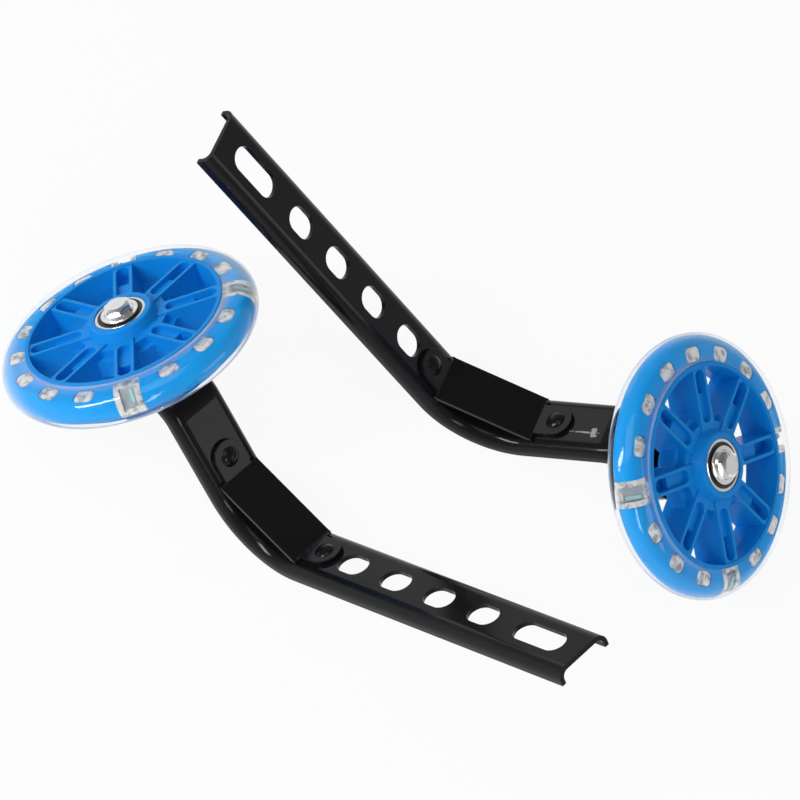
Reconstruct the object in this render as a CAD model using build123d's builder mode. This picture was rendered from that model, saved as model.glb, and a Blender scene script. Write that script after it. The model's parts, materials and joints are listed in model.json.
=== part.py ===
"""Pair of bicycle training wheels: slotted channel brackets, riveted braces and light-up wheels."""

import os
from math import acos, atan2, cos, degrees, hypot, radians, sin, tan

from build123d import *

os.makedirs("parts", exist_ok=True)

# Bracket: x across the strap, y towards the wheel, z up the slotted section, origin at the knee corner
strap_width = 26.5
strap_sheet = 2.0
strap_depth = 7.0
strap_corner = 5.0
knee_angle = 79.0
knee_radius = 30.0
foot_radius = 20.0
reach = 77.5
slotted_length = 185.0
slot_width = 10.6
slot_length = 15.0
slot_count = 4
first_slot = 51.5
end_slot_length = 26.5
end_slot_gap = 32.5
end_margin = 9.75
axle_drop = 41.0

# Brace and rivets
brace_inset = 2.75
brace_sheet = 1.8
brace_fold = 3.5
brace_upper = 25.5
brace_lower = 30.0
tab_width = 14.5
upper_rivet = 34.5
lower_rivet = 39.0
rivet_shank = 4.8
rivet_head = 8.4
rivet_height = 1.9
rivet_tail = 7.6
rivet_tail_height = 1.1
rivet_clearance = 0.1

# Wheel: z along the axle towards the outside, origin at the middle of the hub
tyre_diameter = 110.0
tyre_section = 8.7
tyre_height = 12.6
rib_cover = 3.0
rib_side = 3.5
rib_corner = 4.6
rim_half_width = 8.2
rim_wall = 1.7
rim_draft = 0.8
hub_wall = 2.4
hub_flare = 1.8
hub_half_width = 11.9
hub_edge = 1.0
hub_bore = 9.0
step_radius = 18.5
step_inset = 0.7
collar_radius = 22.0
collar_half_width = 3.8
collar_join = 2.0
spoke_count = 8
spoke_width = 8.4
spoke_inset = 0.6
spoke_rib = 1.4
pocket_inner = 18.0
pocket_floor = 2.2
pocket_deep = 5.5
deep_length = 9.8
peg_count = 16
peg_length = 9.0
peg_height = 6.0
peg_corner = 2.3
window_width = 11.0
window_places = (0, 4, 8)

# Light module in each window
board_length = 5.6
board_height = 7.6
board_sheet = 1.0
board_tilt = 45.0
board_out = 2.9
emitter_length = 6.4
emitter_width = 2.0
emitter_height = 1.2
emitter_side = 1.5

# Ball bearing, 8 x 22 x 7
bearing_bore = 8.0
bearing_outer = 22.0
bearing_width = 7.0
bearing_recess = 0.4
ball_radius = 1.985
ball_count = 7
ball_circle = 15.0
ball_clearance = 0.05
inner_land = 6.0
outer_land = 9.0
seal_outer = 9.6
seal_sheet = 0.8
seal_recess = 0.3
seal_clearance = 0.35

# Axle
bolt_diameter = 6.0
bolt_hex = 10.0
bolt_head = 3.8
bolt_flange = 13.0
bolt_flange_sheet = 1.1
bolt_flange_slope = 30.0
bolt_crown = 4.1
bolt_tail = 2.5
bolt_clearance = 0.1
washer_radius = 8.0
washer_sheet = 1.0
sleeve_gap = 0.1
spacer_radius = 6.0
back_gap = 2.5
back_washer_radius = 7.0
back_washer_sheet = 1.2
nut_hex = 10.0
nut_height = 4.4
nut_collar = 1.8
nut_collar_radius = 4.3

# Standing places on the floor
right_turn = 270.0
left_turn = 68.35
right_place = (31.85, 9.46)
left_place = (-24.63, -79.82)
right_spin = 229.5
left_spin = 139.5

knee = radians(knee_angle)
knee_tangent = knee_radius * tan(knee / 2)
foot_tangent = foot_radius * tan(knee / 2)
bearing_face = hub_half_width - bearing_recess
hub_to_bracket = bearing_face + back_gap
end_slot = slotted_length - end_margin - end_slot_length / 2
slot_pitch = (end_slot - end_slot_gap - first_slot) / (slot_count - 1)
slots = [first_slot + slot_pitch * step for step in range(slot_count)]
brace_width = strap_width - 2 * brace_inset
middle_way = (sin(knee), -cos(knee))
middle_normal = (0, cos(knee), sin(knee))
foot_corner = reach / sin(knee)
wheel_out = reach + hub_to_bracket

with BuildPart() as bracket:
    with BuildLine(Plane.YZ) as strap_line:
        upper = Line((0, slotted_length), (0, knee_tangent))
        knee_arc = JernArc(upper @ 1, upper % 1, knee_radius, knee_angle)
        middle = Line(
            knee_arc @ 1,
            (middle_way[0] * (foot_corner - foot_tangent), middle_way[1] * (foot_corner - foot_tangent)),
        )
        foot_arc = JernArc(middle @ 1, middle % 1, foot_radius, -knee_angle)
        Line(foot_arc @ 1, (reach, -axle_drop - strap_width / 2))
    with BuildSketch(Plane((0, 0, slotted_length), (1, 0, 0), (0, 0, -1))) as strap_section:
        Rectangle(strap_width, strap_depth, align=(Align.CENTER, Align.MIN))
        with Locations((0, strap_sheet)):
            Rectangle(
                strap_width - 2 * strap_sheet,
                strap_depth,
                align=(Align.CENTER, Align.MIN),
                mode=Mode.SUBTRACT,
            )
        fillet(strap_section.vertices().group_by(Axis.Y)[0], strap_corner)
        fillet(
            strap_section.vertices().filter_by_position(Axis.Y, strap_sheet - 0.01, strap_sheet + 0.01),
            strap_corner - strap_sheet,
        )
    sweep(path=strap_line.wires()[0])
    with BuildSketch(Plane.XZ) as slot_outlines:
        with Locations(*[(0, height) for height in slots]):
            SlotOverall(slot_length, slot_width, rotation=90)
        with Locations((0, end_slot)):
            SlotOverall(end_slot_length, slot_width, rotation=90)
        with Locations((0, upper_rivet)):
            Circle(rivet_shank / 2 + rivet_clearance)
    extrude(amount=2 * strap_sheet, both=True, mode=Mode.SUBTRACT)
    with BuildSketch(Plane((0, 0, 0), (1, 0, 0), middle_normal)) as lower_rivet_hole:
        with Locations((0, lower_rivet)):
            Circle(rivet_shank / 2 + rivet_clearance)
    extrude(amount=2 * strap_sheet, both=True, mode=Mode.SUBTRACT)
    with BuildSketch(Plane((0, reach, -axle_drop), (1, 0, 0), (0, -1, 0))) as foot_outline:
        Rectangle(2 * strap_width, strap_width, align=(Align.CENTER, Align.MAX))
        Circle(strap_width / 2, mode=Mode.SUBTRACT)
        Circle(bolt_diameter / 2 + bolt_clearance)
    extrude(amount=2 * strap_depth, both=True, mode=Mode.SUBTRACT)

# Brace folds: where the panel leaves the upper web and meets the middle web
upper_fold = (0.0, brace_upper)
lower_fold = (middle_way[0] * brace_lower, middle_way[1] * brace_lower)
panel_way = atan2(lower_fold[0] - upper_fold[0], upper_fold[1] - lower_fold[1])
upper_bend = brace_fold * tan(panel_way / 2)
lower_bend = brace_fold * tan((knee - panel_way) / 2)

with BuildPart() as brace:
    with BuildLine(Plane.YZ) as brace_line:
        upper_tab = Line((0, upper_rivet + tab_width / 2), (0, brace_upper + upper_bend))
        first_fold = JernArc(upper_tab @ 1, upper_tab % 1, brace_fold, degrees(panel_way))
        panel = Line(
            first_fold @ 1,
            (
                lower_fold[0] - sin(panel_way) * lower_bend,
                lower_fold[1] + cos(panel_way) * lower_bend,
            ),
        )
        second_fold = JernArc(panel @ 1, panel % 1, brace_fold, knee_angle - degrees(panel_way))
        Line(
            second_fold @ 1,
            (
                middle_way[0] * (lower_rivet + tab_width / 2),
                middle_way[1] * (lower_rivet + tab_width / 2),
            ),
        )
    with BuildSketch(Plane((0, 0, upper_rivet + tab_width / 2), (1, 0, 0), (0, 0, -1))) as brace_section:
        Rectangle(brace_width, brace_sheet, align=(Align.CENTER, Align.MAX))
    sweep(path=brace_line.wires()[0])
    with BuildSketch(Plane((0, 0, brace_upper + upper_bend), (1, 0, 0), (0, -1, 0))) as upper_tab_outline:
        Rectangle(2 * brace_width, 2 * tab_width, align=(Align.CENTER, Align.MIN))
        tab_reach = upper_rivet - brace_upper - upper_bend
        Rectangle(tab_width, tab_reach, align=(Align.CENTER, Align.MIN), mode=Mode.SUBTRACT)
        with Locations((0, tab_reach)):
            Circle(tab_width / 2, mode=Mode.SUBTRACT)
            Circle(rivet_shank / 2 + rivet_clearance)
    extrude(amount=1.5 * brace_sheet, both=True, mode=Mode.SUBTRACT)
    with BuildSketch(Plane((0, 0, 0), (1, 0, 0), middle_normal)) as lower_tab_outline:
        with Locations((0, brace_lower + lower_bend)):
            Rectangle(2 * brace_width, 2 * tab_width, align=(Align.CENTER, Align.MIN))
            Rectangle(
                tab_width,
                lower_rivet - brace_lower - lower_bend,
                align=(Align.CENTER, Align.MIN),
                mode=Mode.SUBTRACT,
            )
        with Locations((0, lower_rivet)):
            Circle(tab_width / 2, mode=Mode.SUBTRACT)
            Circle(rivet_shank / 2 + rivet_clearance)
    extrude(amount=1.5 * brace_sheet, both=True, mode=Mode.SUBTRACT)

rivet_dome = (rivet_head**2 / 4 + rivet_height**2) / (2 * rivet_height)

with BuildPart() as rivet:
    with Locations((0, 0, brace_sheet + rivet_height - rivet_dome)):
        Sphere(rivet_dome)
    split(bisect_by=Plane.XY.offset(brace_sheet), keep=Keep.TOP)
    with Locations((0, 0, -strap_sheet)):
        Cylinder(rivet_shank / 2, strap_sheet + brace_sheet, align=(Align.CENTER, Align.CENTER, Align.MIN))
        Cylinder(rivet_tail / 2, rivet_tail_height, align=(Align.CENTER, Align.CENTER, Align.MAX))

with BuildPart() as brace_rivets:
    with Locations(
        Plane((0, 0, upper_rivet), (1, 0, 0), (0, 1, 0)),
        Plane(
            (0, middle_way[0] * lower_rivet, middle_way[1] * lower_rivet),
            (1, 0, 0),
            middle_normal,
        ),
    ):
        add(rivet.part)

tyre_circle = tyre_diameter / 2 - tyre_section
rim_outer = tyre_diameter / 2 - tyre_height
rim_inner = rim_outer - rim_wall
rib_outer = tyre_diameter / 2 - rib_cover
rib_half_width = tyre_section - rib_side
hub_radius = bearing_outer / 2 + hub_wall
spoke_half_depth = rim_half_width - spoke_inset
step_half_depth = spoke_half_depth - step_inset
pocket_outer = rim_inner - spoke_rib / 2
pocket_width = spoke_width - 2 * spoke_rib
deep_start = pocket_outer - deep_length
window_turns = [360 / peg_count * place for place in window_places]
peg_turns = [360 / peg_count * place for place in range(peg_count) if place not in window_places]

with BuildPart() as wheel_core:
    with BuildSketch(Plane.XZ) as rim_section:
        with BuildLine():
            Polyline(
                (rim_inner, rim_half_width),
                (rim_inner - rim_draft, 0),
                (rim_inner, -rim_half_width),
                (rim_outer, -rim_half_width),
                (rim_outer, rim_half_width),
                close=True,
            )
        make_face()
    revolve(axis=Axis.Z)
    with BuildSketch(Plane.XY.offset(-spoke_half_depth)) as spoke_outlines:
        with PolarLocations(0, spoke_count):
            Rectangle(rim_inner + rim_wall / 4, spoke_width, align=(Align.MIN, Align.CENTER))
    extrude(amount=2 * spoke_half_depth)
    for tier_radius, tier_half_depth in ((collar_radius, collar_half_width), (step_radius, step_half_depth)):
        with BuildSketch() as tier_outline:
            Circle(tier_radius)
            with PolarLocations(0, spoke_count):
                Rectangle(rim_inner, spoke_width, align=(Align.MIN, Align.CENTER))
            corners = tier_outline.vertices()
            fillet([spot for spot in corners if hypot(spot.X, spot.Y) < rim_inner - rim_draft], collar_join)
        extrude(amount=tier_half_depth, both=True)
    with BuildSketch(Plane.XY.offset(spoke_half_depth)) as pocket_outlines:
        with PolarLocations((pocket_inner + pocket_outer) / 2, spoke_count):
            SlotOverall(pocket_outer - pocket_inner, pocket_width)
    extrude(amount=-pocket_floor, mode=Mode.SUBTRACT)
    with BuildSketch(Plane.XY.offset(spoke_half_depth)) as deep_outlines:
        with PolarLocations((pocket_inner + pocket_outer) / 2, spoke_count):
            SlotOverall(pocket_outer - pocket_inner, pocket_width)
        Circle(deep_start, mode=Mode.SUBTRACT)
    extrude(amount=-pocket_deep, mode=Mode.SUBTRACT)
    with BuildSketch(Plane.XY.offset(-spoke_half_depth)) as back_pocket_outlines:
        with PolarLocations((pocket_inner + pocket_outer) / 2, spoke_count):
            SlotOverall(pocket_outer - pocket_inner, pocket_width)
    extrude(amount=pocket_floor, mode=Mode.SUBTRACT)
    with BuildSketch(Plane.XZ) as rib_section:
        with Locations((rim_inner + rim_wall / 2, 0)):
            Rectangle(
                rib_outer - rim_inner - rim_wall / 2,
                2 * rib_half_width,
                align=(Align.MIN, Align.CENTER),
            )
        fillet(rib_section.vertices().group_by(Axis.X)[-1], rib_corner)
    revolve(axis=Axis.Z)
    with BuildSketch(Plane.XY.offset(-rim_half_width)) as peg_outlines:
        for turn in peg_turns:
            with Locations(Location((0, 0, 0), (0, 0, turn))):
                with Locations((tyre_circle, 0)):
                    RectangleRounded(peg_height, peg_length, peg_corner)
        for turn in window_turns:
            with Locations(Location((0, 0, 0), (0, 0, turn))):
                with Locations((rim_outer, 0)):
                    Rectangle(2 * tyre_section, window_width, align=(Align.MIN, Align.CENTER))
        Circle(rim_outer, mode=Mode.SUBTRACT)
    extrude(amount=2 * rim_half_width, mode=Mode.SUBTRACT)
    with BuildSketch(Plane.XZ) as hub_section:
        with BuildLine():
            Polyline(
                (0, hub_half_width),
                (hub_radius, hub_half_width),
                (hub_radius + hub_flare, step_half_depth),
                (hub_radius + hub_flare, -step_half_depth),
                (hub_radius, -hub_half_width),
                (0, -hub_half_width),
                close=True,
            )
        make_face()
        hub_rims = hub_section.vertices().filter_by_position(Axis.X, hub_radius - 0.01, hub_radius + 0.01)
        fillet(hub_rims, hub_edge)
    revolve(axis=Axis.Z)
    with BuildSketch(Plane.XY.offset(-hub_half_width)) as hub_clear:
        Circle(hub_bore)
    extrude(amount=2 * hub_half_width, mode=Mode.SUBTRACT)
    with BuildSketch(Plane.XY.offset(hub_half_width)) as front_seat:
        Circle(bearing_outer / 2)
    extrude(amount=-bearing_width - bearing_recess, mode=Mode.SUBTRACT)
    with BuildSketch(Plane.XY.offset(-hub_half_width)) as back_seat:
        Circle(bearing_outer / 2)
    extrude(amount=bearing_width + bearing_recess, mode=Mode.SUBTRACT)

module_place = Location((tyre_circle, 0, 0), (0, board_tilt, 0))
module_places = [Location((0, 0, 0), (0, 0, turn)) * module_place for turn in window_turns]

with BuildPart() as light_boards:
    with Locations(*module_places):
        with Locations((0, 0, board_out)):
            Box(board_height, board_length, board_sheet)

with BuildPart() as light_emitter:
    with BuildSketch(Plane.XY.offset(board_out + board_sheet / 2)) as emitter_outline:
        with Locations((0, emitter_side)):
            SlotOverall(emitter_length, emitter_width)
    extrude(amount=emitter_height)
    fillet(light_emitter.edges().group_by(Axis.Z)[-1], 0.4 * emitter_width)

with BuildPart() as light_emitters:
    with Locations(*module_places):
        add(light_emitter.part)

with BuildPart() as tyre:
    with BuildSketch(Plane.XZ) as tyre_outline:
        with Locations((tyre_circle, 0)):
            Circle(tyre_section)
        Rectangle(2 * rim_outer, 3 * tyre_section, mode=Mode.SUBTRACT)
    revolve(axis=Axis.Z)
    add(wheel_core.part, mode=Mode.SUBTRACT)
    add(light_boards.part, mode=Mode.SUBTRACT)
    add(light_emitters.part, mode=Mode.SUBTRACT)

race_radius = ball_radius + ball_clearance

with BuildPart() as outer_ring:
    with BuildSketch(Plane.XZ) as outer_section:
        Rectangle(bearing_outer, bearing_width)
        Rectangle(2 * outer_land, 2 * bearing_width, mode=Mode.SUBTRACT)
        with Locations((0, bearing_width / 2), (0, -bearing_width / 2)):
            Rectangle(2 * seal_outer, 2 * (seal_recess + seal_sheet), mode=Mode.SUBTRACT)
        with Locations((ball_circle / 2, 0)):
            Circle(race_radius, mode=Mode.SUBTRACT)
        Rectangle(bearing_outer, 2 * bearing_width, align=(Align.MAX, Align.CENTER), mode=Mode.SUBTRACT)
    revolve(axis=Axis.Z)

with BuildPart() as inner_ring:
    with BuildSketch(Plane.XZ) as inner_section:
        Rectangle(2 * inner_land, bearing_width)
        Rectangle(bearing_bore, 2 * bearing_width, mode=Mode.SUBTRACT)
        with Locations((ball_circle / 2, 0)):
            Circle(race_radius, mode=Mode.SUBTRACT)
        Rectangle(bearing_outer, 2 * bearing_width, align=(Align.MAX, Align.CENTER), mode=Mode.SUBTRACT)
    revolve(axis=Axis.Z)

with BuildPart() as balls:
    with PolarLocations(ball_circle / 2, ball_count):
        Sphere(ball_radius)

with BuildPart() as seals:
    with BuildSketch(
        Plane.XY.offset(bearing_width / 2 - seal_recess - seal_sheet),
        Plane.XY.offset(seal_recess - bearing_width / 2),
    ) as seal_outline:
        Circle(seal_outer)
        Circle(inner_land + seal_clearance, mode=Mode.SUBTRACT)
    extrude(amount=seal_sheet)

stack_front = bearing_face + washer_sheet
stack_back = hub_to_bracket + strap_sheet + back_washer_sheet
nut_end = stack_back + nut_height + nut_collar

with BuildPart() as axle_bolt:
    with BuildSketch(Plane.XY.offset(stack_front)) as head_outline:
        RegularPolygon(bolt_hex / 2, 6, major_radius=False)
    extrude(amount=bolt_head)
    with BuildSketch(Plane.XZ) as crown_section:
        with BuildLine():
            Polyline(
                (0, stack_front - 1),
                (bolt_hex, stack_front - 1),
                (bolt_hex, stack_front + bolt_head - (bolt_hex - bolt_crown) * tan(radians(30))),
                (bolt_crown, stack_front + bolt_head),
                (0, stack_front + bolt_head),
                close=True,
            )
        make_face()
    revolve(axis=Axis.Z, mode=Mode.INTERSECT)
    with BuildSketch(Plane.XY.offset(stack_front)) as flange_outline:
        Circle(bolt_flange / 2)
    extrude(amount=bolt_flange_sheet, taper=bolt_flange_slope)
    with BuildSketch(Plane.XY.offset(stack_front)) as shank_outline:
        Circle(bolt_diameter / 2)
    extrude(amount=-stack_front - nut_end - bolt_tail)
    chamfer(axle_bolt.edges().sort_by(Axis.Z)[0], bolt_diameter / 8)

with BuildPart() as front_washer:
    with BuildSketch(Plane.XY.offset(bearing_face)) as washer_outline:
        Circle(washer_radius)
        Circle(bolt_diameter / 2 + bolt_clearance, mode=Mode.SUBTRACT)
    extrude(amount=washer_sheet)

with BuildPart() as axle_sleeve:
    with BuildSketch(Plane.XY.offset(-hub_to_bracket)) as sleeve_outline:
        Circle(bearing_bore / 2)
        Circle(bolt_diameter / 2 + bolt_clearance, mode=Mode.SUBTRACT)
    extrude(amount=hub_to_bracket + bearing_face - sleeve_gap)

with BuildPart() as bearing_spacer:
    with BuildSketch(Plane.XY.offset(bearing_width - bearing_face)) as spacer_outline:
        Circle(spacer_radius)
        Circle(bearing_bore / 2, mode=Mode.SUBTRACT)
    extrude(amount=2 * (bearing_face - bearing_width))

with BuildPart() as back_spacer:
    with BuildSketch(Plane.XY.offset(-hub_to_bracket)) as back_spacer_outline:
        Circle(spacer_radius)
        Circle(bearing_bore / 2, mode=Mode.SUBTRACT)
    extrude(amount=back_gap)

with BuildPart() as back_washer:
    with BuildSketch(Plane.XY.offset(-stack_back)) as back_washer_outline:
        Circle(back_washer_radius)
        Circle(bolt_diameter / 2 + bolt_clearance, mode=Mode.SUBTRACT)
    extrude(amount=back_washer_sheet)

with BuildPart() as lock_nut:
    with BuildSketch(Plane.XY.offset(-stack_back)) as nut_outline:
        RegularPolygon(nut_hex / 2, 6, major_radius=False)
    extrude(amount=-nut_height)
    with BuildSketch(Plane.XY.offset(-stack_back - nut_height)) as nut_collar_outline:
        Circle(nut_collar_radius)
    extrude(amount=-nut_collar)
    with BuildSketch(Plane.XY.offset(-stack_back)) as nut_thread:
        Circle(bolt_diameter / 2)
    extrude(amount=-nut_height - nut_collar, mode=Mode.SUBTRACT)

# Standing attitude: the floor touches the knee's flange edges and the tyre
knee_centre = (knee_radius, knee_tangent)
tyre_low = (wheel_out, -axle_drop - tyre_circle)
knee_sweep = knee_radius + strap_depth
drop = (tyre_low[0] - knee_centre[0], tyre_low[1] - knee_centre[1])
lean = atan2(drop[1], drop[0]) + acos((tyre_section - knee_sweep) / hypot(*drop))
floor = knee_centre[0] * cos(lean) + knee_centre[1] * sin(lean) - knee_sweep

stand = Plane((0, 0, -floor), (0, -1, 0), (-cos(lean), 0, sin(lean))).location
hub = Plane((0, wheel_out, -axle_drop), (-1, 0, 0), (0, 1, 0)).location
front_bearing = Location((0, 0, bearing_face - bearing_width / 2))
back_bearing = Location((0, 0, bearing_width / 2 - bearing_face))

on_bracket = {"bracket": bracket, "brace": brace, "brace_rivets": brace_rivets}
on_axle = {
    "axle_bolt": axle_bolt,
    "front_washer": front_washer,
    "axle_sleeve": axle_sleeve,
    "bearing_spacer": bearing_spacer,
    "back_spacer": back_spacer,
    "back_washer": back_washer,
    "lock_nut": lock_nut,
}
on_wheel = {
    "wheel_core": wheel_core,
    "tyre": tyre,
    "light_boards": light_boards,
    "light_emitters": light_emitters,
}
in_bearing = {
    "bearing_outer_ring": outer_ring,
    "bearing_inner_ring": inner_ring,
    "bearing_balls": balls,
    "bearing_seals": seals,
}
sides = {
    "right": (right_place, right_turn - 270, right_spin),
    "left": (left_place, left_turn - 270, left_spin),
}

nodes = {}
for side, (place, turn, spin) in sides.items():
    unit = Location((place[0], place[1], 0), (0, 0, turn)) * stand
    wheel = unit * hub * Location((0, 0, 0), (0, 0, spin - window_turns[1]))
    placed = [(name, piece, unit) for name, piece in on_bracket.items()]
    placed += [(name, piece, unit * hub) for name, piece in on_axle.items()]
    placed += [(name, piece, wheel) for name, piece in on_wheel.items()]
    placed += [("front_" + name, piece, unit * hub * front_bearing) for name, piece in in_bearing.items()]
    placed += [("back_" + name, piece, unit * hub * back_bearing) for name, piece in in_bearing.items()]
    for name, piece, spot in placed:
        nodes[side + "_" + name] = (piece, spot)

# The pair is centred on the origin, with the floor at z = 0
boxes = [(spot * piece.part).bounding_box() for piece, spot in nodes.values()]
middle_x = (min(box.min.X for box in boxes) + max(box.max.X for box in boxes)) / 2
middle_y = (min(box.min.Y for box in boxes) + max(box.max.Y for box in boxes)) / 2
centred = Location((-middle_x, -middle_y, 0))

for name, (piece, spot) in nodes.items():
    with BuildPart() as node:
        with Locations(centred * spot):
            add(piece.part)
    node.part.label = name
    export_step(node.part, "parts/" + name + ".step")
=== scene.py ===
import json
from math import atan2, cos, pi, radians, sin, sqrt, tau

import bmesh
import bpy
from mathutils import Matrix, Vector

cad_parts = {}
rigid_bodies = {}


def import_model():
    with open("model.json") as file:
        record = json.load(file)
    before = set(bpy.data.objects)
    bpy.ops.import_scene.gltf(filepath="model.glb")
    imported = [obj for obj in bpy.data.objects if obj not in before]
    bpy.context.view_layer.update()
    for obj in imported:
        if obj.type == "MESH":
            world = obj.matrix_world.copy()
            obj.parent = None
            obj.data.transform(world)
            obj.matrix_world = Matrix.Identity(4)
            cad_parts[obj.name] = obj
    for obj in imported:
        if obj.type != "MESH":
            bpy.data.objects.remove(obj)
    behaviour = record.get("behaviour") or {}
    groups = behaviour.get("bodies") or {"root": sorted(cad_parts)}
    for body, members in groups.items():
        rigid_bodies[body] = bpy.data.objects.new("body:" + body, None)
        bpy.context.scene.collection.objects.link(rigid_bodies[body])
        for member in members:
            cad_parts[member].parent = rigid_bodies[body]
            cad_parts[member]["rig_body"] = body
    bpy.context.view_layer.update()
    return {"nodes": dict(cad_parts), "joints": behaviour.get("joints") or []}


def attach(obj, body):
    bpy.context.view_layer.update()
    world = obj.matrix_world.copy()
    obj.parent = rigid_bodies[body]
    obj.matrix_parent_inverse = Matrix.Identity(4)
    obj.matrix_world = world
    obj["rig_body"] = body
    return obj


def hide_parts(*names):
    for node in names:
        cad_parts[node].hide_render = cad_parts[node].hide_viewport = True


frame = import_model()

nodes = frame["nodes"]
joints = {joint["child"]: joint for joint in frame["joints"]}
SIDES = ("right", "left")
MM = 0.001

# Worn place on the right bracket: lean of the unit, angle and corner of its knee
LEAN = radians(41.5586)
KNEE = radians(79.0)
KNEE_CORNER = Vector((25.92, 49.69, -1.85)) * MM

# Ovals of the worn place in mm: middle and half size across the strap, then down it from the knee
SCRATCH = (3.6, 0.4, 53.2, 5.0)
FLAKES = ((3.5, 2.6, 58.0, 1.3), (5.0, 0.8, 58.9, 1.0), (2.2, 1.0, 57.6, 1.2))
WORN_HALF_DEPTH = 0.6

# Distances from the axle in mm between which the core's blue turns into the rib's lighter blue,
# which is painted light for the light that reaches the rib through the clear tyre
RIB_PAINTED_LIGHT = (42.0, 43.0)

# Depth of the surface grain and radius of the edges that are rounded by shading alone
GRAIN_DEPTH = 0.02 * MM
PAINT_EDGE = 0.3 * MM
PLASTIC_EDGE = 0.4 * MM

# Widths in mm by which the edges of a node's copy are rounded
EDGES = {
    "brace": 0.14,
    "front_washer": 0.2,
    "back_washer": 0.2,
    "lock_nut": 0.2,
    "front_bearing_outer_ring": 0.25,
}
SHARP_ANGLE = radians(32)
SMOOTH_ANGLE = radians(40)
WELD = 0.002 * MM

# Wheel sizes in mm: those of the solids, less a small clearance
TYRE_CIRCLE = 46.3
TYRE_SECTION = 8.68
TYRE_ROOT = 41.6
RIB_ROOT = 42.45
RIB_OUTER = 51.92
RIB_HALF = 5.12
RIB_CORNER = 4.52
PEG_PLACES = 16
PEG_HALF = (2.9, 4.4)
PEG_CORNER = 2.2
WINDOW_HALF = 5.42
BOARD_HALF = 3.0
BOARD_BACK = 2.3

# Rings of a peg's face: share of its outline and fall below the rib's face in mm
PEG_RINGS = ((0.3, 0.0), (0.6, 0.0), (0.86, 0.0), (0.95, 0.1), (1.0, 0.4))

# Steps of the round meshes
TYRE_STEPS = 192
TYRE_SECTION_STEPS = 48
PEG_STEPS = 32
RIB_CORNER_STEPS = 8

# Stage: half the floor's side, the share of it that glows, and the world's light by height
FLOOR_HALF = 6.0
FLOOR_GLOW = 0.92
WORLD_HEIGHTS = (0.0, 0.85)
WORLD_LIGHT = (0.65, 0.2)

# Lamps: place, size in metres and power in watts, all aimed at one point
AIM = Vector((0, 0, 0.05))
LAMPS = {
    "key": ((-0.82, -0.6, 0.65), (0.18, 0.66), 7.5),
    "fill": ((0.45, -0.92, 0.65), (0.2, 0.4), 1.9),
    "top": ((-0.3, -0.2, 1.4), (0.8, 0.8), 3.0),
    "right_panel": ((0.8, 0.06, 0.38), (0.4, 0.25), 0.6),
    "left_panel": ((-0.75, 0.5, 0.23), (0.3, 0.3), 0.3),
}

# Camera: its place, the ways of the picture, and its focal length over the picture's width
CAMERA_PLACE = (0.0115, -0.94037, 1.82955)
RIGHT = Vector((0.90796, 0.3729, 0.19121))
DOWN = Vector((0.41898, -0.79862, -0.43203))
AHEAD = Vector((-0.0084, 0.47238, -0.88135))
SENSOR = 36.0
FOCAL_SHARE = 5000 / 800


class Tree:
    """A material's node tree, with short calls to add and link nodes."""

    def __init__(self, name):
        self.material = bpy.data.materials.new(name)
        self.material.use_nodes = True
        self.tree = self.material.node_tree
        self.tree.nodes.clear()
        self.out = self.tree.nodes.new("ShaderNodeOutputMaterial")

    def put(self, socket, value):
        if isinstance(value, bpy.types.NodeSocket):
            self.tree.links.new(value, socket)
        else:
            socket.default_value = value

    def add(self, kind, **inputs):
        node = self.tree.nodes.new("ShaderNode" + kind)
        for key, value in inputs.items():
            self.put(node.inputs[key.replace("_", " ")], value)
        return node

    def math(self, operation, first, second=0.0):
        node = self.add("Math")
        node.operation = operation
        self.put(node.inputs[0], first)
        self.put(node.inputs[1], second)
        return node.outputs[0]

    def vector_math(self, operation, first, second=None):
        node = self.add("VectorMath")
        node.operation = operation
        self.put(node.inputs[0], first)
        if second is not None:
            self.put(node.inputs[1], second)
        return node.outputs["Value" if operation in ("DOT_PRODUCT", "LENGTH") else "Vector"]

    def place(self):
        return self.add("TexCoord").outputs["Object"]

    def noise(self, scale, detail=3.0):
        node = self.add("TexNoise", Vector=self.place(), Scale=scale, Detail=detail, Roughness=0.55)
        return node.outputs["Fac"]

    def span(self, value, low, high, start=0.0, end=1.0):
        node = self.add("MapRange")
        for socket, item in zip(node.inputs, (value, low, high, start, end)):
            self.put(socket, item)
        return node.outputs[0]

    def blend(self, factor, first, second):
        node = self.add("Mix")
        node.data_type = "RGBA"
        self.put(node.inputs[0], factor)
        self.put(node.inputs[6], first)
        self.put(node.inputs[7], second)
        return node.outputs[2]

    def bump(self, height, distance, strength, round_edge=None):
        """Surface grain; with round_edge, edges are shaded as if rounded to that radius."""
        node = self.add("Bump", Height=height, Distance=distance, Strength=strength)
        if round_edge is not None:
            bevel = self.add("Bevel", Radius=round_edge)
            self.put(node.inputs["Normal"], bevel.outputs["Normal"])
        return node.outputs["Normal"]

    def along(self, origin, way):
        """Distance in mm from a point along a direction, in the frame's own coordinates."""
        reach = self.vector_math("DOT_PRODUCT", self.place(), Vector(way) / MM)
        return self.math("SUBTRACT", reach, origin.dot(Vector(way)) / MM)

    def from_axle(self, hub, axis):
        """Distance in mm from a wheel's axis, in the frame's own coordinates."""
        offset = self.vector_math("SUBTRACT", self.place(), hub)
        cross = self.vector_math("CROSS_PRODUCT", offset, axis)
        return self.math("DIVIDE", self.vector_math("LENGTH", cross), MM)

    def finish(self, shader):
        self.tree.links.new(shader.outputs[0], self.out.inputs["Surface"])
        return self.material


def rgba(r, g, b):
    return (r, g, b, 1.0)


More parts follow.
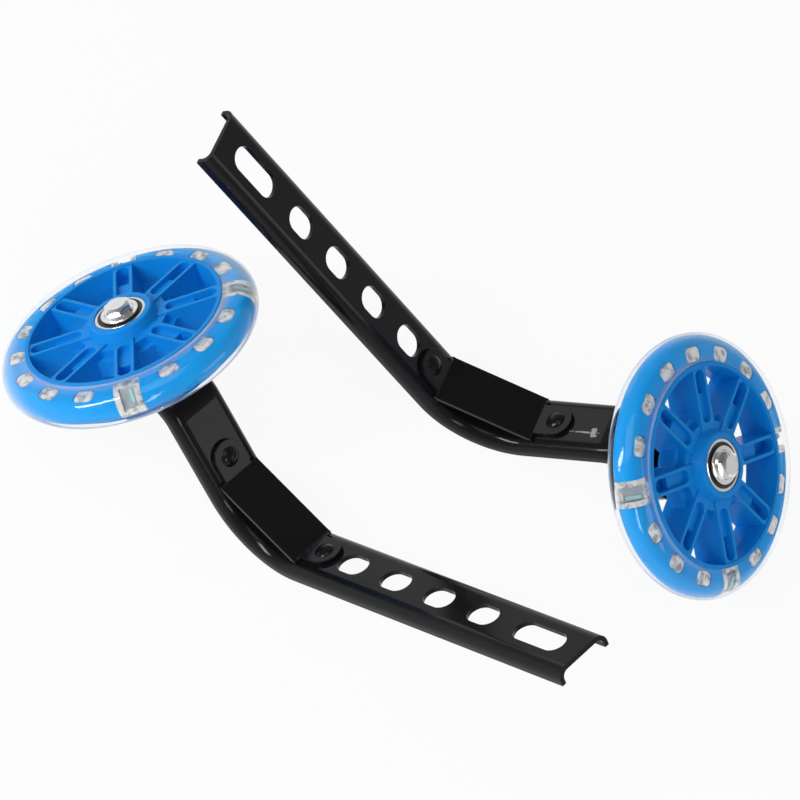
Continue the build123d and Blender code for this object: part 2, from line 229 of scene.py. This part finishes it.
def chip(t):
    """Mask of the worn place on the right bracket: a scratch that ends in a flaked patch."""
    out = Vector((sin(LEAN), 0, cos(LEAN)))
    up = Vector((-cos(LEAN), 0, sin(LEAN)))
    across = t.along(KNEE_CORNER, (0, -1, 0))
    down = t.along(KNEE_CORNER, out * sin(KNEE) - up * cos(KNEE))
    off = t.along(KNEE_CORNER, out * cos(KNEE) + up * sin(KNEE))
    ragged = t.span(t.noise(900.0), 0.3, 0.7, -0.3, 0.3)

    def offset(value, middle, half):
        return t.math("POWER", t.math("DIVIDE", t.math("SUBTRACT", value, middle), half), 2.0)

    def oval(middle_across, half_across, middle_down, half_down):
        """About the distance in mm past an oval's edge."""
        side = offset(across, middle_across, half_across)
        end = offset(down, middle_down, half_down)
        size = t.math("POWER", t.math("ADD", side, end), 0.5)
        return t.math("MULTIPLY", t.math("SUBTRACT", size, 1.0), min(half_across, half_down))

    shape = oval(*SCRATCH)
    for flake in FLAKES:
        shape = t.math("MINIMUM", shape, oval(*flake))
    depth = t.math("SUBTRACT", t.math("ABSOLUTE", off), WORN_HALF_DEPTH)
    shape = t.math("MAXIMUM", t.math("ADD", shape, ragged), depth)
    return t.span(shape, -0.1, 0.1, 1.0, 0.0)


def black_paint(name, worn=None):
    """Glossy black paint, with bare metal where the mask says that it is worn."""
    t = Tree(name)
    grain = t.noise(700.0, 2.0)
    cloud = t.noise(35.0)
    colour = t.blend(cloud, rgba(0.005, 0.005, 0.0053), rgba(0.008, 0.008, 0.0084))
    rough = t.span(cloud, 0.3, 0.7, 0.11, 0.17)
    metallic = 0.0
    height = grain
    if worn is not None:
        mask = worn(t)
        colour = t.blend(mask, colour, rgba(0.32, 0.33, 0.34))
        rough = t.math("ADD", rough, t.math("MULTIPLY", mask, 0.2))
        metallic = t.math("MULTIPLY", mask, 0.4)
        height = t.math("SUBTRACT", grain, t.math("MULTIPLY", mask, 3.0))
    shader = t.add(
        "BsdfPrincipled",
        Base_Color=colour,
        Roughness=rough,
        Metallic=metallic,
        IOR=1.27,
        Normal=t.bump(height, GRAIN_DEPTH, 0.5, PAINT_EDGE),
    )
    return t.finish(shader)


def blue_plastic(side):
    """The wheel's blue, painted lighter on the rib that lies in the clear tyre: painted light for
    the light that reaches the rib through the tyre, while the core lies in the rim's shade.
    """
    t = Tree(side + "_blue_plastic")
    cloud = t.noise(22.0)
    grain = t.noise(900.0, 2.0)
    core = t.blend(cloud, rgba(0.004, 0.25, 0.73), rgba(0.006, 0.28, 0.79))
    # The rib's lighter blue is painted light, standing in for the light that reaches the rib
    # through the clear tyre
    rib = t.blend(cloud, rgba(0.004, 0.38, 0.95), rgba(0.006, 0.41, 0.98))
    joint = joints[side + "_wheel"]
    rib_painted_light = t.span(t.from_axle(joint["pos_m"], joint["axis"]), *RIB_PAINTED_LIGHT)
    shader = t.add(
        "BsdfPrincipled",
        Base_Color=t.blend(rib_painted_light, core, rib),
        Roughness=t.span(cloud, 0.3, 0.7, 0.32, 0.42),
        IOR=1.2,
        Normal=t.bump(grain, GRAIN_DEPTH, 0.4, PLASTIC_EDGE),
    )
    return t.finish(shader)


def clear_tyre():
    """Clear moulding that turns milky white where it is seen edge on: partly haze, partly painted
    reflection of the white floor and lamps seen in and through its border.
    """
    t = Tree("clear_tyre")
    swirl = t.noise(60.0, 2.0)
    # The white base where edge on is partly haze and partly painted reflection of the white
    # surroundings
    edge = t.add("LayerWeight", Blend=0.5).outputs["Facing"]
    shader = t.add(
        "BsdfPrincipled",
        Base_Color=rgba(0.95, 0.98, 1.0),
        Roughness=t.span(swirl, 0.3, 0.7, 0.02, 0.06),
        IOR=1.15,
        Transmission_Weight=t.span(edge, 0.42, 1.0, 1.0, 0.5),
        Coat_Weight=1.0,
        Coat_Roughness=0.05,
        Coat_IOR=1.38,
        Normal=t.bump(swirl, 0.2 * MM, 0.05),
    )
    return t.finish(shader)


def resin_with_painted_light():
    """The pegs and windows in the rib's holes, clear resin painted in mottled grey and white:
    painted light and painted reflections for the white floor seen through the resin and for what it
    reflects.
    """
    t = Tree("resin_with_painted_light")
    patch = t.noise(300.0, 1.0)
    fold = t.noise(420.0, 2.0)
    patchy = t.span(patch, 0.38, 0.6)
    # Painted reflections: the grey and cream patches stand in for the dark and light that the clear
    # resin reflects
    painted_reflection_patches = t.blend(patchy, rgba(0.36, 0.38, 0.41), rgba(0.95, 0.92, 0.88))
    # Painted light: the white folds stand in for the floor's light seen through the clear resin
    colour = t.blend(t.span(fold, 0.46, 0.68), painted_reflection_patches, rgba(0.97, 0.97, 0.95))
    shader = t.add(
        "BsdfPrincipled",
        Base_Color=colour,
        Roughness=0.22,
        Metallic=0.25,
        Normal=t.bump(fold, 0.8 * MM, 0.5),
    )
    return t.finish(shader)


def bright_metal(name, low, high, rough, scale):
    t = Tree(name)
    cloud = t.noise(scale)
    fine = t.noise(2500.0, 2.0)
    shader = t.add(
        "BsdfPrincipled",
        Base_Color=t.blend(cloud, low, high),
        Metallic=1.0,
        Roughness=t.span(cloud, 0.3, 0.7, rough, rough + 0.08),
        Normal=t.bump(fine, 0.01 * MM, 0.4),
    )
    return t.finish(shader)


def dull(name, low, high, rough):
    t = Tree(name)
    cloud = t.noise(300.0)
    shader = t.add(
        "BsdfPrincipled",
        Base_Color=t.blend(cloud, low, high),
        Roughness=rough,
        Normal=t.bump(cloud, 0.05 * MM, 0.3),
    )
    return t.finish(shader)


black = black_paint("black_paint")
chipped = black_paint("black_paint_chipped", chip)
blue = {side: blue_plastic(side) for side in SIDES}
clear = clear_tyre()
painted_light_resin = resin_with_painted_light()
zinc = bright_metal("zinc", rgba(0.66, 0.66, 0.66), rgba(0.84, 0.84, 0.83), 0.15, 200.0)
steel = bright_metal("bearing_steel", rgba(0.6, 0.59, 0.57), rgba(0.78, 0.77, 0.75), 0.14, 300.0)
seal = dull("seal", rgba(0.008, 0.008, 0.008), rgba(0.02, 0.02, 0.02), 0.5)
board = dull("board", rgba(0.3, 0.33, 0.37), rgba(0.48, 0.5, 0.55), 0.35)
emitter = dull("emitter", rgba(0.32, 0.56, 0.62), rgba(0.5, 0.72, 0.76), 0.2)


def finishes(side):
    """The material of each node of one unit."""
    table = {
        "bracket": chipped if side == "right" else black,
        "brace": black,
        "brace_rivets": black,
        "axle_bolt": zinc,
        "front_washer": zinc,
        "axle_sleeve": zinc,
        "bearing_spacer": zinc,
        "back_spacer": zinc,
        "back_washer": zinc,
        "lock_nut": zinc,
        "wheel_core": blue[side],
        "tyre": clear,
        "light_boards": board,
        "light_emitters": emitter,
    }
    for end in ("front", "back"):
        table[end + "_bearing_outer_ring"] = steel
        table[end + "_bearing_inner_ring"] = steel
        table[end + "_bearing_balls"] = steel
        table[end + "_bearing_seals"] = seal
    return table


def dress(obj, material):
    obj.data.materials.clear()
    obj.data.materials.append(material)


def softened(node_name, width, material):
    """A copy of a CAD node's mesh with its sharp edges rounded, in that node's place."""
    source = nodes[node_name]
    mesh = source.data.copy()
    mesh.name = node_name + "_fine"
    bm = bmesh.new()
    bm.from_mesh(mesh)
    bmesh.ops.remove_doubles(bm, verts=bm.verts, dist=WELD)
    outer = [edge for edge in bm.edges if edge.is_manifold and edge.is_convex]
    bmesh.ops.bevel(
        bm,
        geom=[edge for edge in outer if edge.calc_face_angle() > SHARP_ANGLE],
        offset=width * MM,
        offset_type="OFFSET",
        segments=2,
        profile=0.5,
        affect="EDGES",
        clamp_overlap=False,
        loop_slide=True,
    )
    piece = smooth_piece(bm, mesh, node_name + "_fine", material)
    normals = piece.modifiers.new("normals", "WEIGHTED_NORMAL")
    normals.keep_sharp = True
    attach(piece, source["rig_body"])
    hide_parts(node_name)


def smooth_piece(bm, mesh, name, material):
    """An object with the given shape, smooth but for its sharp edges."""
    for face in bm.faces:
        face.smooth = True
    bm.to_mesh(mesh)
    bm.free()
    mesh.set_sharp_from_angle(angle=SMOOTH_ANGLE)
    piece = bpy.data.objects.new(name, mesh)
    bpy.context.scene.collection.objects.link(piece)
    dress(piece, material)
    return piece


for side in SIDES:
    for part, material in finishes(side).items():
        name = side + "_" + part
        if part in EDGES:
            softened(name, EDGES[part], material)
        else:
            dress(nodes[name], material)


def half_turn(angle):
    """The same angle between minus and plus half a turn."""
    return (angle + pi) % tau - pi


def rib_height(radius):
    """Half the blue rib's width at a distance from the axle, in mm."""
    over = radius - (RIB_OUTER - RIB_CORNER)
    if over <= 0:
        return RIB_HALF
    return RIB_HALF - RIB_CORNER + sqrt(max(RIB_CORNER**2 - over**2, 0.0))


def behind_board(section):
    """The part of a section that lies behind the back of the tilted light board."""

    def past(point):
        return (point[0] - TYRE_CIRCLE + point[1]) * sqrt(0.5) - BOARD_BACK

    kept = []
    for here, there in zip(section, section[1:] + section[:1]):
        if past(here) <= 0:
            kept.append(here)
        if past(here) * past(there) < 0:
            share = past(here) / (past(here) - past(there))
            kept.append(tuple(a + share * (b - a) for a, b in zip(here, there)))
    return kept


class Wheel:
    """The place of one wheel: its hub, its axis and the turns of its windows and pegs."""

    def __init__(self, side):
        joint = joints[side + "_wheel"]
        self.side = side
        self.hub = Vector(joint["pos_m"])
        self.axis = Vector(joint["axis"]).normalized()
        self.first = self.axis.orthogonal().normalized()
        self.second = self.axis.cross(self.first)
        self.windows = self.board_turns(nodes[side + "_light_boards"])
        grid = [self.windows[0] + tau / PEG_PLACES * step for step in range(PEG_PLACES)]
        self.pegs = [turn for turn in grid if self.clear_of_windows(turn)]

    def board_turns(self, boards):
        """The turn of the middle of each light board; the boards stand a quarter turn apart."""
        turns = []
        for vert in boards.data.vertices:
            spot = boards.matrix_world @ vert.co - self.hub
            turns.append(atan2(spot.dot(self.second), spot.dot(self.first)) % tau)
        start = turns[0]
        groups = {}
        for turn in turns:
            quarter = round((turn - start) / (pi / 2)) % 4
            groups.setdefault(quarter, []).append(half_turn(turn - start - quarter * pi / 2))
        middles = []
        for quarter, group in sorted(groups.items()):
            middles.append(start + quarter * pi / 2 + (min(group) + max(group)) / 2)
        return middles

    def clear_of_windows(self, turn):
        quarter_step = tau / PEG_PLACES / 4
        return all(abs(half_turn(turn - window)) > quarter_step for window in self.windows)

    def spot(self, turn, radial, tangential, height):
        """World point at a distance out, a distance round and a height along the axle, in mm."""
        out = self.first * cos(turn) + self.second * sin(turn)
        round_way = self.second * cos(turn) - self.first * sin(turn)
        return self.hub + (out * radial + round_way * tangential + self.axis * height) * MM

    def keep(self, bm, name, material):
        """Makes the shape a piece that turns with the wheel."""
        bmesh.ops.recalc_face_normals(bm, faces=bm.faces)
        mesh = bpy.data.meshes.new(self.side + name)
        piece = smooth_piece(bm, mesh, self.side + name, material)
        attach(piece, self.side + "_wheel")
        return piece

    def tyre_skin(self):
        """The tyre's outside, turned round the axle; its root is buried in the rim's wall."""
        drop = TYRE_CIRCLE - TYRE_ROOT
        limit = pi - atan2(sqrt(TYRE_SECTION**2 - drop**2), drop)
        section = []
        for step in range(TYRE_SECTION_STEPS + 1):
            turn = -limit + 2 * limit * step / TYRE_SECTION_STEPS
            section.append((TYRE_CIRCLE + TYRE_SECTION * cos(turn), TYRE_SECTION * sin(turn)))
        bm = bmesh.new()
        rings = []
        for step in range(TYRE_STEPS):
            turn = tau * step / TYRE_STEPS
            rings.append([bm.verts.new(self.spot(turn, r, 0, z)) for r, z in section])
        for here, there in zip(rings, rings[1:] + rings[:1]):
            for i in range(len(section)):
                j = (i + 1) % len(section)
                bm.faces.new((here[i], there[i], there[j], here[j]))
        piece = self.keep(bm, "_tyre_skin", clear)
        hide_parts(self.side + "_tyre")

    def peg_pieces(self):
        """Moulded pegs that fill the holes in the blue rib, level with its outside."""
        corner = (PEG_HALF[0] - PEG_CORNER, PEG_HALF[1] - PEG_CORNER)
        outline = []
        for step in range(PEG_STEPS):
            turn = tau * (step + 0.5) / PEG_STEPS
            x = PEG_CORNER * cos(turn) + (corner[0] if cos(turn) > 0 else -corner[0])
            y = PEG_CORNER * sin(turn) + (corner[1] if sin(turn) > 0 else -corner[1])
            outline.append((x, y))
        bm = bmesh.new()
        for turn in self.pegs:
            rims = [self.peg_face(bm, turn, outline, sign) for sign in (1, -1)]
            for i in range(PEG_STEPS):
                j = (i + 1) % PEG_STEPS
                bm.faces.new((rims[0][i], rims[0][j], rims[1][j], rims[1][i]))
        self.keep(bm, "_tyre_pegs", painted_light_resin)

    def peg_face(self, bm, turn, outline, sign):
        """One end face of a peg, made of rings round its middle; gives its outer ring."""
        height = sign * rib_height(TYRE_CIRCLE)
        middle = bm.verts.new(self.spot(turn, TYRE_CIRCLE, 0, height))
        rings = []
        for size, fall in PEG_RINGS:
            ring = []
            for x, y in outline:
                radius = TYRE_CIRCLE + x * size
                height = sign * (rib_height(radius) - fall)
                ring.append(bm.verts.new(self.spot(turn, radius, y * size, height)))
            rings.append(ring)
        for i in range(PEG_STEPS):
            bm.faces.new((middle, rings[0][i], rings[0][(i + 1) % PEG_STEPS]))
        for inner, outer in zip(rings, rings[1:]):
            for i in range(PEG_STEPS):
                j = (i + 1) % PEG_STEPS
                bm.faces.new((inner[i], inner[j], outer[j], outer[i]))
        return rings[-1]

    def window_pieces(self):
        """Moulded blocks in the rib's three gaps, each with a recess for its light module."""
        centre = (RIB_OUTER - RIB_CORNER, RIB_HALF - RIB_CORNER)
        full = [(RIB_ROOT, -RIB_HALF)]
        for sign in (-1, 1):
            for step in range(RIB_CORNER_STEPS + 1):
                share = step / RIB_CORNER_STEPS
                turn = pi / 2 * (share if sign > 0 else 1 - share)
                radius = centre[0] + RIB_CORNER * cos(turn)
                full.append((radius, sign * (centre[1] + RIB_CORNER * sin(turn))))
        full.append((RIB_ROOT, RIB_HALF))
        blocks = (
            (full, -WINDOW_HALF, -BOARD_HALF),
            (behind_board(full), -BOARD_HALF, BOARD_HALF),
            (full, BOARD_HALF, WINDOW_HALF),
        )
        bm = bmesh.new()
        for turn in self.windows:
            for section, start, end in blocks:
                first = [bm.verts.new(self.spot(turn, r, start, z)) for r, z in section]
                last = [bm.verts.new(self.spot(turn, r, end, z)) for r, z in section]
                bm.faces.new(first)
                bm.faces.new(last[::-1])
                for i in range(len(section)):
                    j = (i + 1) % len(section)
                    bm.faces.new((first[i], last[i], last[j], first[j]))
        self.keep(bm, "_tyre_windows", painted_light_resin)


for side in SIDES:
    wheel = Wheel(side)
    wheel.tyre_skin()
    wheel.peg_pieces()
    wheel.window_pieces()


def floor():
    """Pale floor that glows where it is seen, so that shadows on it stay faint."""
    mesh = bpy.data.meshes.new("floor")
    bm = bmesh.new()
    bmesh.ops.create_grid(bm, x_segments=1, y_segments=1, size=FLOOR_HALF)
    bm.to_mesh(mesh)
    bm.free()
    obj = bpy.data.objects.new("floor", mesh)
    bpy.context.scene.collection.objects.link(obj)
    t = Tree("floor")
    path = t.add("LightPath").outputs
    seen = t.math("MAXIMUM", path["Is Camera Ray"], path["Is Transmission Ray"])
    seen = t.math("MAXIMUM", seen, path["Is Glossy Ray"])
    matt = t.add("BsdfDiffuse", Color=rgba(0.9, 0.9, 0.9))
    white = t.add("Emission", Color=rgba(1, 1, 1), Strength=1.0)
    mix = t.add("MixShader")
    t.put(mix.inputs[0], t.math("MULTIPLY", seen, FLOOR_GLOW))
    t.put(mix.inputs[1], matt.outputs[0])
    t.put(mix.inputs[2], white.outputs[0])
    dress(obj, t.finish(mix))


def studio():
    """World light that falls off from the horizon upwards."""
    world = bpy.data.worlds.new("studio")
    bpy.context.scene.world = world
    world.use_nodes = True
    tree = world.node_tree
    tree.nodes.clear()
    out = tree.nodes.new("ShaderNodeOutputWorld")
    background = tree.nodes.new("ShaderNodeBackground")
    background.inputs["Color"].default_value = rgba(1, 1, 1)
    way = tree.nodes.new("ShaderNodeTexCoord")
    parts = tree.nodes.new("ShaderNodeSeparateXYZ")
    tree.links.new(way.outputs["Generated"], parts.inputs[0])
    fall = tree.nodes.new("ShaderNodeMapRange")
    tree.links.new(parts.outputs["Z"], fall.inputs[0])
    for socket, value in zip(fall.inputs[1:5], WORLD_HEIGHTS + WORLD_LIGHT):
        socket.default_value = value
    tree.links.new(fall.outputs[0], background.inputs["Strength"])
    tree.links.new(background.outputs[0], out.inputs["Surface"])


def lamp(name, place, size, power):
    data = bpy.data.lights.new(name, "AREA")
    data.shape = "RECTANGLE"
    data.size, data.size_y = size
    data.energy = power
    obj = bpy.data.objects.new(name, data)
    obj.location = place
    obj.rotation_euler = (AIM - Vector(place)).to_track_quat("-Z", "Y").to_euler()
    bpy.context.scene.collection.objects.link(obj)


def camera():
    data = bpy.data.cameras.new("camera")
    data.sensor_fit = "HORIZONTAL"
    data.sensor_width = SENSOR
    data.lens = SENSOR * FOCAL_SHARE
    data.clip_end = 20.0
    obj = bpy.data.objects.new("camera", data)
    bpy.context.scene.collection.objects.link(obj)
    turn = Matrix((RIGHT, -DOWN, -AHEAD)).transposed().to_4x4()
    obj.matrix_world = Matrix.Translation(CAMERA_PLACE) @ turn
    bpy.context.scene.camera = obj


floor()
studio()
for name, settings in LAMPS.items():
    lamp(name, *settings)
camera()

bpy.context.scene.view_settings.view_transform = "Standard"
